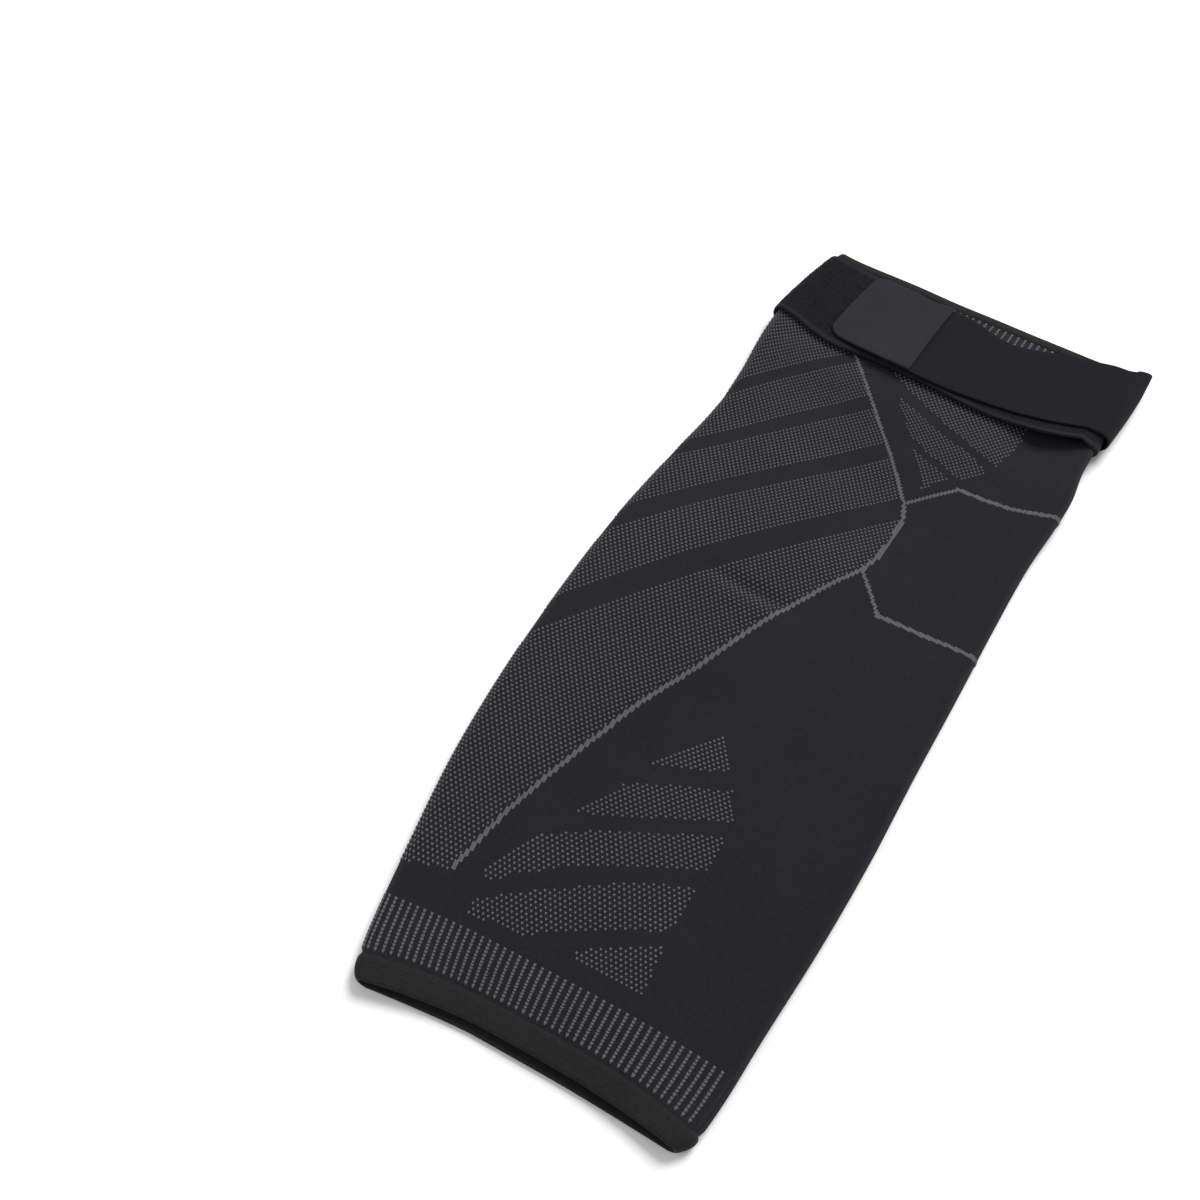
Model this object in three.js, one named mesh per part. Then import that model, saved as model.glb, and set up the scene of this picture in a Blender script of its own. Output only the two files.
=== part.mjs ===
// Knee compression sleeve lying flat on its side, with a strap round the thigh end.
// Millimetres, +Z up. +Y runs along the sleeve from the calf opening to the thigh opening,
// +X runs across it to the fold at the kneecap. The finished group is centred over the origin, on the floor.
import * as THREE from 'three';

// Knitted wall and the folds of the flattened tube
const WALL = 1.8;
const FOLD_HEIGHT = 7;
const FOLD_SHARE = 0.05;
const SEAM_GAP = 0.3;

// Where each knitted piece starts and ends along the sleeve
const CALF_WELT_END = 5.6;
const CALF_CUFF_END = 24;
const THIGH_CUFF_START = 362;
const THIGH_WELT_START = 380;
const SLEEVE_LENGTH = 388;

// Ribs of the cuffs
const RIBS_ROUND = 94;
const RIB_RELIEF = 0.35;

// Strap layers, from the knit outwards
const BAND_CLEARANCE = 0.5;
const BAND_THICKNESS = 1.5;
const LAYER_GAP = 0.3;
const STRAP_THICKNESS = 1.5;
const TAB_THICKNESS = 1.2;
const BAND_WIDTH = 48;
const STRAP_WIDTH = 47;

// Places across the sleeve where the strap and its tab begin and end
const STRAP_FREE_END = -24;
const STRAP_SEWN_END = 18;
const TAB_LEFT = -51;
const TAB_RIGHT = -10;
const TAB_CORNER = 7;

// The tab bends up over the free end of the strap on a ramp that ends just before it
const TAB_RAMP_START = STRAP_FREE_END - 12;
const TAB_RAMP_END = STRAP_FREE_END - 2;

// Middle of the loop band along the sleeve
const BAND_MIDDLE = 356;

// How far the loose loop of the strap stands out from the right fold, at its lower and upper edge
const LOOP_SLACK_LOW = 2;
const LOOP_SLACK_HIGH = 6;

// Steps of the faceted surfaces
const FOLD_STEPS = 6;
const TOP_STEPS = 20;
const UNDERSIDE_STEPS = 10;
const OUTER_STEPS = 30;
const INNER_STEPS = 14;
const WIDTH_STEPS = 4;
const WELT_EDGE_STEPS = 4;
const TAB_CORNER_STEPS = 5;
const TAB_STEPS = 9;
const STRAP_STEP = 5;
const PLACING_ROUNDS = 6;

// One row for each section along the sleeve: its folds left and right, how high its underside lies above
// the floor, its height at the crown, how far it slants (rise along the sleeve for each millimetre across)
// and how far the middle of its upper panel bows towards the thigh
const SECTIONS = [
  { along: 0, left: -56, right: 51, lift: 0, height: 9.6, slant: 0.062, bow: 3 },
  { along: 3, left: -58.5, right: 53.8, lift: 0, height: 9.8, slant: 0.062, bow: 5.3 },
  { along: 18, left: -63, right: 56.5, lift: 0, height: 10, slant: 0.06, bow: 2.8 },
  { along: 38, left: -67.5, right: 58, lift: 0, height: 10, slant: 0.055, bow: 0 },
  { along: 76, left: -75.2, right: 61.5, lift: 0, height: 10, slant: 0.045, bow: 0 },
  { along: 114, left: -80, right: 63.5, lift: 0, height: 10, slant: 0.03, bow: 0 },
  { along: 152, left: -82.2, right: 64.2, lift: 0, height: 10, slant: 0.015, bow: 0 },
  { along: 190, left: -83, right: 65.6, lift: 0, height: 10, slant: 0, bow: 0 },
  { along: 228, left: -81.3, right: 66.5, lift: 0, height: 10, slant: -0.02, bow: 0 },
  { along: 266, left: -77.5, right: 68.3, lift: 0.3, height: 10, slant: -0.05, bow: -1 },
  { along: 292, left: -77.6, right: 70.6, lift: 1.8, height: 10, slant: -0.08, bow: -5 },
  { along: 306, left: -79, right: 71, lift: 2.9, height: 10, slant: -0.1, bow: -8.5 },
  { along: 320, left: -80.3, right: 70, lift: 3.8, height: 10, slant: -0.12, bow: -12 },
  { along: 336, left: -80.6, right: 69.8, lift: 4, height: 10, slant: -0.12, bow: -14 },
  { along: 362, left: -78, right: 70.3, lift: 4, height: 10, slant: -0.12, bow: -9 },
  { along: 388, left: -73.5, right: 71, lift: 4, height: 9.6, slant: -0.12, bow: -5 },
];

// Shallow dents of the upper panel, where the knit has sagged
const DENTS = [
  { across: -14, along: 212, depth: 0.9, reach: 16 },
  { across: 6, along: 120, depth: 0.6, reach: 30 },
  { across: -40, along: 300, depth: 0.7, reach: 22 },
];

// Lower edge of the loop band and of the pull strap, across the sleeve from fold to fold
const BAND_EDGE = [
  { across: -82, low: 343 },
  { across: -60, low: 331 },
  { across: -30, low: 325 },
  { across: 0, low: 319 },
  { across: 30, low: 314 },
  { across: 50, low: 316.5 },
  { across: 74, low: 330 },
];
const STRAP_EDGE = [
  { across: -60, low: 336 },
  { across: -40, low: 331.5 },
  { across: -12, low: 329 },
  { across: 10, low: 322.5 },
  { across: 30, low: 319.5 },
  { across: 50, low: 322.5 },
  { across: 66, low: 331 },
  { across: 82, low: 336 },
];

// Materials
const KNIT_BLACK = { color: 0x28272c, roughness: 0.95, metalness: 0 };
const CUFF_GREY = { color: 0x3a393e, roughness: 0.95, metalness: 0 };
const WELT_BLACK = { color: 0x222120, roughness: 0.95, metalness: 0 };
const BAND_BLACK = { color: 0x232227, roughness: 1, metalness: 0 };
const STRAP_BLACK = { color: 0x27262b, roughness: 0.9, metalness: 0 };
const TAB_GREY = { color: 0x38373c, roughness: 0.7, metalness: 0 };

// Smooth curve through a table's rows, read off at any place along its first column
function smoothTable(rows, key) {
  const columns = Object.keys(rows[0]).filter((name) => name !== key);
  const places = rows.map((row) => row[key]);
  const values = rows.flatMap((row) => columns.map((name) => row[name]));
  const curve = new THREE.CubicInterpolant(places, values, columns.length);
  return (place) => {
    const inside = THREE.MathUtils.clamp(place, places[0], places.at(-1));
    const result = curve.evaluate(inside);
    return Object.fromEntries(columns.map((name, i) => [name, result[i]]));
  };
}

const sectionAt = smoothTable(SECTIONS, 'along');
const bandEdgeAt = smoothTable(BAND_EDGE, 'across');
const strapEdgeAt = smoothTable(STRAP_EDGE, 'across');

// Rise of the crowned upper panel, from 0 at the folds to 1 in the middle
function crown(reach) {
  return (1 - reach ** 4) ** 2;
}

function dentDepth(across, along) {
  return DENTS.reduce((sum, dent) => {
    const distance = Math.hypot(across - dent.across, along - dent.along) / dent.reach;
    return sum + dent.depth * Math.exp(-(distance ** 2));
  }, 0);
}

// A point of the flattened tube. share runs once round the section from 0 to 1: the left fold from below,
// the upper panel, the right fold, the underside. offset is outwards from the knit's outer face, and
// slack is how far a loose layer stands out from the right fold.
function tubePoint(along, share, offset, slack = 0) {
  const { left, right, lift: tableLift, height, slant, bow } = sectionAt(along);
  const lift = Math.max(tableLift, 0);
  const radius = FOLD_HEIGHT / 2 + offset;
  const middle = (left + right + slack) / 2;
  const half = (right + slack - left - FOLD_HEIGHT) / 2;
  const foldMiddle = lift + FOLD_HEIGHT / 2;
  const panelShare = 0.5 - FOLD_SHARE;
  let x;
  let z;
  let bowed = 0;
  if (share < FOLD_SHARE) {
    const turn = Math.PI * (share / FOLD_SHARE - 0.5);
    x = middle - half - radius * Math.cos(turn);
    z = foldMiddle + radius * Math.sin(turn);
  } else if (share < 0.5) {
    const reach = 2 * (share - FOLD_SHARE) / panelShare - 1;
    x = middle + half * reach;
    z = lift + FOLD_HEIGHT + offset + (height - FOLD_HEIGHT - dentDepth(x, along)) * crown(reach);
    bowed = bow * (1 - Math.abs(reach) ** 3);
  } else if (share < 0.5 + FOLD_SHARE) {
    const turn = Math.PI * (0.5 - (share - 0.5) / FOLD_SHARE);
    x = middle + half + radius * Math.cos(turn);
    z = foldMiddle + radius * Math.sin(turn);
  } else {
    x = middle + half * (1 - 2 * (share - 0.5 - FOLD_SHARE) / panelShare);
    z = lift - offset;
  }
  return new THREE.Vector3(x, along + slant * x + bowed, z);
}

// The share of the upper panel that lies at a place across the sleeve
function topShare(across, along) {
  const { left, right } = sectionAt(along);
  const reach = (across - (left + right) / 2) / ((right - left - FOLD_HEIGHT) / 2);
  return FOLD_SHARE + (0.5 - FOLD_SHARE) * (reach + 1) / 2;
}

function steps(from, to, count) {
  return Array.from({ length: count + 1 }, (_, i) => from + (to - from) * i / count);
}

// Shares round the section: few on the flat underside, more on the crowned panel and the folds
function roundShares() {
  return [
    ...steps(0, FOLD_SHARE, FOLD_STEPS).slice(0, -1),
    ...steps(FOLD_SHARE, 0.5, TOP_STEPS).slice(0, -1),
    ...steps(0.5, 0.5 + FOLD_SHARE, FOLD_STEPS).slice(0, -1),
    ...steps(0.5 + FOLD_SHARE, 1, UNDERSIDE_STEPS).slice(0, -1),
  ];
}

// A closed surface through rings of points. A closed loft joins its last ring to its first, as a hollow wall
// does; an open one gets a flat end at each side.
function loft(rings, closed) {
  const count = rings[0].length;
  const geometry = new THREE.BufferGeometry().setFromPoints(rings.flat());
  const index = [];
  const spans = closed ? rings.length : rings.length - 1;
  for (let ring = 0; ring < spans; ring++) {
    const here = ring * count;
    const next = ((ring + 1) % rings.length) * count;
    for (let i = 0; i < count; i++) {
      const j = (i + 1) % count;
      index.push(here + i, here + j, next + j, here + i, next + j, next + i);
    }
  }
  if (!closed) {
    const last = (rings.length - 1) * count;
    for (let i = 1; i < count - 1; i++) {
      index.push(0, i + 1, i, last, last + i, last + i + 1);
    }
  }
  geometry.setIndex(index);
  geometry.computeVertexNormals();
  return geometry;
}

function piece(name, geometry, finish) {
  const mesh = new THREE.Mesh(geometry, new THREE.MeshStandardMaterial(finish));
  mesh.name = name;
  return mesh;
}

// Hollow knitted wall between two places along the sleeve
function knitWall(from, to) {
  const shares = roundShares();
  const ringAt = (offset) => (along) => shares.map((share) => tubePoint(along, share, offset));
  return loft([
    ...steps(from, to, OUTER_STEPS).map(ringAt(0)),
    ...steps(to, from, INNER_STEPS).map(ringAt(-WALL)),
  ], true);
}

// Rib cuff: its outer face alternates between crests and grooves round the section
function ribCuff(from, to) {
  const shares = steps(0, 1, 2 * RIBS_ROUND).slice(0, -1);
  const ribbed = (along) => shares.map((share, i) => tubePoint(along, share, i % 2 ? -RIB_RELIEF : 0));
  const plain = (along) => shares.map((share) => tubePoint(along, share, -WALL));
  return loft([ribbed(from), ribbed(to), plain(to), plain(from)], true);
}

// Welt: the wall ends in a rounded, turned edge. end is the free edge and start the edge at the cuff.
function welt(start, end) {
  const shares = roundShares();
  const radius = WALL / 2;
  const outwards = Math.sign(end - start);
  const turned = steps(0, Math.PI, WELT_EDGE_STEPS).map((turn) => ({
    along: end - outwards * radius * (1 - Math.sin(turn)),
    offset: radius * (Math.cos(turn) - 1),
  }));
  const profile = [{ along: start, offset: 0 }, ...turned, { along: start, offset: -WALL }];
  if (outwards < 0) {
    profile.reverse();
  }
  const rings = profile.map(({ along, offset }) => shares.map((share) => tubePoint(along, share, offset)));
  return loft(rings, true);
}

// A point of a layer round the tube, at a place y of the floor instead of along the slanted, bowed courses
function layerPoint(y, share, offset, slack) {
  let along = y;
  for (let round = 0; round < PLACING_ROUNDS; round++) {
    along += y - tubePoint(along, share, offset, slack).y;
  }
  const point = tubePoint(along, share, offset, slack);
  point.y = y;
  return point;
}

// One cross-section of a flat band: along its inner face from edge to edge, and back along its outer face
function bandRing(pointAt, low, high, inner, outer) {
  const widths = steps(low, high, WIDTH_STEPS);
  const back = [...widths].reverse();
  return [
    ...widths.map((y) => pointAt(y, inner)),
    ...back.map((y) => pointAt(y, outer)),
  ];
}

// Loop-pile band, all the way round the tube
function loopBand() {
  const inner = BAND_CLEARANCE;
  const outer = inner + BAND_THICKNESS;
  return loft(roundShares().map((share) => {
    const { low } = bandEdgeAt(tubePoint(BAND_MIDDLE, share, outer).x);
    return bandRing((y, offset) => layerPoint(y, share, offset), low, low + BAND_WIDTH, inner, outer);
  }), true);
}

const STRAP_INNER = BAND_CLEARANCE + BAND_THICKNESS + LAYER_GAP;
const STRAP_OUTER = STRAP_INNER + STRAP_THICKNESS;

// Pull strap: over the front from its free end, round the right fold in a loose loop, and back underneath
function pullStrap() {
  const foldPlace = sectionAt(BAND_MIDDLE).right;
  const start = topShare(STRAP_FREE_END, BAND_MIDDLE);
  const sewn = 1 + FOLD_SHARE - topShare(STRAP_SEWN_END, BAND_MIDDLE);
  const frontSteps = Math.round((foldPlace - STRAP_FREE_END) / STRAP_STEP);
  const backSteps = Math.round((foldPlace - STRAP_SEWN_END) / STRAP_STEP);
  const shares = [
    ...steps(start, 0.5, frontSteps).slice(0, -1),
    ...steps(0.5, 0.5 + FOLD_SHARE, 2 * FOLD_STEPS).slice(0, -1),
    ...steps(0.5 + FOLD_SHARE, sewn, backSteps),
  ];
  return loft(shares.map((share) => {
    const { low } = strapEdgeAt(tubePoint(BAND_MIDDLE, share, STRAP_OUTER).x);
    const slackAt = (y) => LOOP_SLACK_LOW + (LOOP_SLACK_HIGH - LOOP_SLACK_LOW) * (y - low) / STRAP_WIDTH;
    const pointAt = (y, offset) => layerPoint(y, share, offset, slackAt(y));
    return bandRing(pointAt, low, low + STRAP_WIDTH, STRAP_INNER, STRAP_OUTER);
  }), false);
}

// Hook tab: rounded at its free left end, stepping up over the end of the strap at its right
function hookTab() {
  const stepUp = STRAP_THICKNESS + LAYER_GAP;
  const turns = steps(0, Math.PI / 2, TAB_CORNER_STEPS);
  const corner = turns.map((turn) => TAB_LEFT + TAB_CORNER * (1 - Math.cos(turn)));
  const places = [...corner, ...steps(TAB_LEFT + TAB_CORNER, TAB_RIGHT, TAB_STEPS).slice(1)];
  return loft(places.map((across) => {
    const { low } = strapEdgeAt(across);
    const past = Math.min(across - TAB_LEFT, TAB_CORNER);
    const cut = TAB_CORNER - Math.sqrt(TAB_CORNER ** 2 - (TAB_CORNER - past) ** 2);
    const rise = stepUp * THREE.MathUtils.smoothstep(across, TAB_RAMP_START, TAB_RAMP_END);
    const inner = STRAP_INNER + rise;
    const share = topShare(across, BAND_MIDDLE);
    const pointAt = (y, offset) => layerPoint(y, share, offset);
    return bandRing(pointAt, low + cut, low + STRAP_WIDTH - cut, inner, inner + TAB_THICKNESS);
  }), false);
}

const sleeve = new THREE.Group();
sleeve.add(
  piece('calf_welt', welt(CALF_WELT_END, 0), WELT_BLACK),
  piece('calf_rib_cuff', ribCuff(CALF_WELT_END + SEAM_GAP, CALF_CUFF_END), CUFF_GREY),
  piece('knit_sleeve', knitWall(CALF_CUFF_END + SEAM_GAP, THIGH_CUFF_START - SEAM_GAP), KNIT_BLACK),
  piece('thigh_rib_cuff', ribCuff(THIGH_CUFF_START, THIGH_WELT_START - SEAM_GAP), CUFF_GREY),
  piece('thigh_welt', welt(THIGH_WELT_START, SLEEVE_LENGTH), WELT_BLACK),
  piece('loop_band', loopBand(), BAND_BLACK),
  piece('pull_strap', pullStrap(), STRAP_BLACK),
  piece('hook_tab', hookTab(), TAB_GREY),
);

// Centre the sleeve over the origin, with its underside on the floor
const box = new THREE.Box3().setFromObject(sleeve);
const centre = box.getCenter(new THREE.Vector3());
sleeve.position.set(-centre.x, -centre.y, -box.min.z);

export default sleeve;
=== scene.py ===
"""Looks of a knee compression sleeve that lies flat on its side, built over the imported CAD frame.

Sizes are in millimetres in the part's table frame: x runs across the sleeve to the fold at the kneecap,
y along it from the calf opening, z up from the floor. A mesh is moved to the row frame, in metres, when
it is made.
"""

import math

import bpy
import numpy as np
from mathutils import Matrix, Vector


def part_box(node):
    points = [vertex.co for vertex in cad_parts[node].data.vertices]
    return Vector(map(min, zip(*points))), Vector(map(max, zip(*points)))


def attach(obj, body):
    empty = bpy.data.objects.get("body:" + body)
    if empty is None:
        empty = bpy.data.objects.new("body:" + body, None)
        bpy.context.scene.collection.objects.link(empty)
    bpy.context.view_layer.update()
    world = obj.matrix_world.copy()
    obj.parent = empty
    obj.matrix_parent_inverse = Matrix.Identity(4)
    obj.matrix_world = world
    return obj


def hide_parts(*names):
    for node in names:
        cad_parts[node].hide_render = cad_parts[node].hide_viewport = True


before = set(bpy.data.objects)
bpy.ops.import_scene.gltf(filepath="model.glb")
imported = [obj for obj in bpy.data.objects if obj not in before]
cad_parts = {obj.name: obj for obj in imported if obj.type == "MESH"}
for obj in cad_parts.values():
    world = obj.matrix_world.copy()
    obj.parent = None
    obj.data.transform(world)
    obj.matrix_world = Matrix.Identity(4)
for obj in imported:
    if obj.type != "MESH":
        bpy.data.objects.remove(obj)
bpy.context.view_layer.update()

MM = 0.001

# Knitted wall, and the folds of the flattened tube. Places round it are shares of the whole way: the left
# fold from below, the upper panel, the right fold and the underside.
WALL = 1.8
FOLD_HEIGHT = 7
FOLD_SHARE = 0.05
RIGHT_FOLD = 0.5
UNDERSIDE = RIGHT_FOLD + FOLD_SHARE
PANEL_SHARE = RIGHT_FOLD - FOLD_SHARE

# Where each knitted piece starts and ends along the sleeve
CALF_WELT_END = 5.6
CALF_CUFF_END = 24
THIGH_CUFF_START = 362
THIGH_WELT_START = 384.3
SLEEVE_LENGTH = 389.5

# Low corner of the CAD's calf welt, across and along
CALF_WELT_LOW = (-59.768, -3.416)

# Ribs, wales and courses of the knit. The laid sleeve rests on the stitches that stand out of its underside.
RIBS_ROUND = 98
RIB_RELIEF = 0.45
RIB_FADE = 2
WALES_ROUND = 304
STITCH_RELIEF = 0.3

# The knit is stretched more at the left of each panel. Its courses are this long at places along the sleeve.
LEFT_STRETCH = 0.045
COURSE_LENGTHS = np.array([(24, 0.81), (50, 0.79), (75, 0.705), (105, 0.68), (130, 0.695), (160, 0.735),
                           (190, 0.735), (213, 0.7), (230, 0.66), (250, 0.68), (275, 0.735), (362, 0.74)])

# The welts swell a little, behind a groove where they meet the cuffs
WELT_SWELL = 0.25
WELT_FULLNESS = 0.7
WELT_GROOVE = 0.5
GROOVE_REACH = 1.2

# At the calf end the corners curl outwards, and the underside bows less than the upper panel
LEFT_CURL = 3
RIGHT_CURL = 0.8
CURL_START = 0.3
CURL_POWER = 1.2
CURL_REACH = 7
UNDER_BOW = 0.15

# Strap layers, from the knit outwards
BAND_CLEARANCE = 0.5
BAND_THICKNESS = 1.5
LAYER_GAP = 0.2
STRAP_THICKNESS = 1.1
TAB_THICKNESS = 1.2
BAND_WIDTH = 48
BAND_LENGTH = 325
STRAP_WIDTH = 47
STRAP_INNER = BAND_CLEARANCE + BAND_THICKNESS + LAYER_GAP
BAND_MIDDLE = 356

# Bare edge of the loop band, how far it fades into the pile and how much lighter it is
# The lighter edge is partly its own weave without pile and partly painted light on the strip that shows below
# the strap
BARE_EDGE = 3
BARE_FADE = 1
BARE_AND_PAINTED_LIGHTER = 2

# Tufts of the loop band's pile: how many, how high, how wide at the foot, how far they lean, where they are
# rooted and by what share they vary
TUFTS = 16000
TUFT_HEIGHT = 0.26
TUFT_RADIUS = 0.5
TUFT_LEAN = 0.4
TUFT_ROOT = -0.12
TUFT_VARIETY = 0.3

# Places across the sleeve where the strap and its tab begin and end
STRAP_FREE_END = -24
STRAP_SEWN_END = 18
TAB_LEFT = -51
TAB_RIGHT = -10

# Round corners of the tab, where it climbs over the end of the strap, and how far it covers the strap's edges
TAB_CORNER = 7
TAB_RAMP_START = STRAP_FREE_END - 22
TAB_RAMP_END = STRAP_FREE_END - 2
TAB_OVERHANG = 0.3

# How far the ends of the strap and the tab are rounded off, the strap's as a share of the way round the tube,
# how near to the tab's right end its rows draw together, and the share of the thickness left at an end
STRAP_END_ROUNDING = 0.003
TAB_END_ROUNDING = 0.6
TAB_END_REACH = 1
END_THINNEST = 0.1

# How far the loose loop of the strap stands out from the right fold, at its lower and upper edge, and how
# much sharper its fold is at the upper edge
LOOP_SLACK_LOW = 0.6
LOOP_SLACK_HIGH = 6
FOLD_SHARPNESS = 0.5

# Near its upper edge the loop is pressed flat: how far, from where to where across the sleeve, and from what
# share of its width
LOOP_PRESS = 0.55
LOOP_PRESS_START = 62
LOOP_PRESS_END = 81
LOOP_PRESS_FROM = 0.2

# Round the right fold, where it is sewn on, the loop band lies closer to the knit: how much, and the shares
# of the way round over which that sets in and ends
SEAM_SINK = 0.6
SEAM_START = (0.49, 0.51)
SEAM_END = (0.55, 0.6)

# Under the sleeve the strap layers run nearer to the thigh: how much, and the shares over which that sets in
UNDER_SHIFT = 4
UNDER_SHIFT_START = (0.52, 0.56)

# How far the strap layers stand off the knit at their lower edges, where they bulge most, how far from the
# edge that fades, and the shares over which it ends at the right fold
EDGE_LIFT = 0.5
BULGE_LIFT = 4.5
BULGE_PLACE = 52
BULGE_REACH_LEFT = 13
BULGE_REACH_RIGHT = 24
LIFT_FADE = 9
LIFT_END = (0.486, 0.507)
STRAP_EDGE_LIFT = 0.15
STRAP_LIFT_FADE = 5

# One row for each section: its place along the sleeve, its folds left and right, how high its underside lies
# above the floor, its height at the crown, how far it slants and how far its upper panel bows to the thigh
SECTIONS = np.array([
    (0, -56, 51, 0, 5.2, 0.035, 2.7),
    (3, -58.5, 53.8, 0, 5.8, 0.042, 4.1),
    (7, -60.2, 54.8, 0, 6.7, 0.044, 5),
    (18, -63.2, 56.3, 0, 8.6, 0.044, 2.3),
    (38, -68, 57.8, 0, 10, 0.02, 0),
    (76, -75.8, 61.2, 0, 10, -0.005, 0),
    (114, -80.5, 63.2, 0, 10, -0.06, 0),
    (152, -82.5, 64, 0, 10, -0.095, 0),
    (190, -82.8, 65.3, 0, 10, -0.105, 0),
    (228, -80.5, 66.3, 0, 10, -0.12, 0),
    (266, -77.3, 68, 0.3, 10, -0.13, -1),
    (292, -77.9, 71, 1.8, 10, -0.13, -5),
    (306, -79.2, 72, 2.9, 10, -0.12, -8.5),
    (320, -80.3, 71.2, 3.8, 10, -0.115, -12),
    (336, -80.6, 71.8, 4, 10, -0.115, -14),
    (362, -78, 71.5, 4, 10, -0.12, -9),
    (388, -73.5, 71, 4, 9.6, -0.12, -5),
])

# Dents of the upper panel, where the knit has sagged, and swellings, whose depth is negative: across, along,
# depth, and how far they reach across and along
DENTS = [(-18, 186.3, 1.8, 17, 3.6), (-20, 178.6, -0.7, 16, 5), (6, 120, 0.6, 30, 30),
         (-40, 300, 0.7, 22, 22), (30, 150, 0.4, 26, 26), (54, 325, 3.2, 12, 13)]

# Long low waves of the laid cloth: height, waves in a metre across and along, and phase
WAVES = [(0.16, 9, 14, 0.4), (0.12, -16, 11, 1.9), (0.09, 5, 31, 4.1), (0.07, 27, -19, 2.6)]

# Lower and upper edge of the loop band and of the pull strap, at places across the sleeve
BAND_EDGES = np.array([(-84, 345, 394), (-70, 340, 390), (-58, 332.8, 386), (-46, 327.8, 382),
                       (-30, 326.2, 377), (-10, 324, 371.5), (20, 318.6, 363.5), (40, 316.8, 364.5),
                       (50, 317.2, 366.5), (56, 319, 369), (60, 320.6, 370), (65, 323.6, 372),
                       (74, 327, 376)])
STRAP_EDGES = np.array([(-60, 336.5, 385.5), (-45, 332.3, 381.6), (-30, 327.4, 377.1), (-20, 325.7, 374.4),
                        (-10, 324.6, 374.4), (0, 323.2, 371.3), (10, 322.3, 366.8), (20, 322.4, 365.5),
                        (30, 322.6, 368.3), (40, 323.2, 371.8), (50, 325.3, 374.6), (60, 329.4, 377.8),
                        (66, 331.8, 380), (75, 334, 387.5)])

# Grey lines of the pattern, charted in plan on the upper panel: half their width, then their points
LONG_LINE = [(-40, 334), (-35.5, 327), (-20, 306), (0, 280), (15, 258)]
UPRIGHT_LINE = [(15, 258), (17.7, 250), (17.7, 237), (16.5, 226), (14, 217.5)]
GREY_LINES = [
    (0.6, LONG_LINE),
    (0.75, UPRIGHT_LINE),
    (0.6, [(14, 217.5), (27.5, 199.8)]),
    (0.85, [(27.5, 199.8), (45, 200.8), (55, 202), (64, 202), (90, 202.5)]),
    (0.6, [(15, 258), (31, 275.2)]),
    (0.85, [(31, 275.2), (42, 275.5), (52, 277), (67, 282), (90, 289)]),
]

# The line that climbs along the edge of the dotted side: its points, its two stitches in each course, in
# wales from the wale that it takes there, and how many wales beside it hold no dots
CLIMBING_LINE = [(14, 217.5), (6.4, 205), (-4.3, 183.6), (-10, 170), (-14.3, 159), (-18.6, 146.4), (-25, 132),
                 (-30, 119.3), (-35.7, 100.7), (-41.4, 82), (-45.7, 65), (-50, 38)]
CLIMB_WALES = (-0.35, 0.35)
CLIMB_CLEARANCE = 1.5

# Dotted zones, inside those lines and in patches beside them. Black stripes cross the dotted side along
# diagonals of the dots: the first and last diagonal of each stripe, in wales less half the courses.
DOTTED_SIDE = [(-100, 352), *LONG_LINE, *UPRIGHT_LINE[1:], *CLIMBING_LINE[1:], (-51.5, 37), (-100, 23)]
BLACK_STRIPES = [(-167, -161), (-137, -129), (-105, -95), (-69, -57)]
THIGH_PATCHES = [
    [(6.5, 287.2), (25.8, 278), (18, 268.6)],
    [(-10.5, 312), (-2, 308.5), (10, 302), (22, 297), (33, 292.5), (37.8, 288.5), (29.5, 280), (20, 284.3),
     (12, 287.8), (3, 293.3), (-3, 302)],
    [(-18.5, 325.5), (-10, 332), (44, 326), (44, 312), (42.5, 304), (40, 293.6), (36, 295.5), (27, 299.3),
     (18, 303.3), (9, 308.3), (2, 312), (-6, 317), (-13, 321.5)],
]
CALF_LEAVES = [
    [(1.8, 126.7), (11, 114), (4, 110), (-3, 107.2), (-14.8, 102.4), (-10, 109.5), (-5, 117)],
    [(-26.3, 74.5), (-17.5, 91.7), (-8, 97), (2, 101.7), (9, 104.7), (14, 107.6), (20.3, 97), (13, 93.7),
     (5, 89.5), (-5, 84.2), (-15, 78.7)],
    [(-41.8, 42.5), (-40, 46.5), (-36.8, 53), (-34.5, 59), (-32.8, 61.8), (-28, 64.2), (-22.5, 68.3),
     (-18.5, 71.6), (-10, 75.7), (1.4, 81.2), (10, 86.2), (20.3, 91), (20.3, 78), (10, 72.7), (1.4, 68),
     (-10, 61.8), (-20, 55), (-26, 50), (-32.5, 44.8), (-36, 40.6), (-39.5, 39.6)],
    [(-38.4, 31.6), (-36, 33.8), (-28, 40.4), (-20, 46.6), (-12, 52.3), (-5, 57.3), (2, 62), (9, 65.8),
     (20.3, 71), (20.3, 59), (18.9, 53.5), (14, 50.8), (6, 46), (-3, 40.6), (-12, 35), (-17, 31),
     (-19, 29.2), (-37, 28.2)],
    [(-1.7, 34.2), (0, 31.4), (22.2, 32), (20.8, 49.4), (13, 44.4), (7, 40.8), (2, 37.2)],
]

# One knitted stitch: a low V of two lobes. Its foot, its shoulder and the hollow between its lobes are given
# in wales across, courses along and millimetres high.
STITCH_FOOT = [(0, -0.78), (0.42, -0.4), (0.58, 0.2), (0.4, 0.7), (0, 0.45), (-0.4, 0.7), (-0.58, 0.2),
               (-0.42, -0.4)]
STITCH_SHOULDER = [(0, -0.42, 0.2), (0.24, -0.2, 0.27), (0.36, 0.2, 0.3), (0.27, 0.42, 0.25), (0, 0.22, 0.15),
                   (-0.27, 0.42, 0.25), (-0.36, 0.2, 0.3), (-0.24, -0.2, 0.27)]
STITCH_HOLLOW = (0, -0.02, 0.2)
STITCH_ROOT = -0.25
STITCH_VARIETY = 0.12
DOT_WIDTH = 0.96
DOT_LENGTH = 1.2
LINE_WIDTH = 1.3
LINE_LENGTH = 1.3

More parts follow.
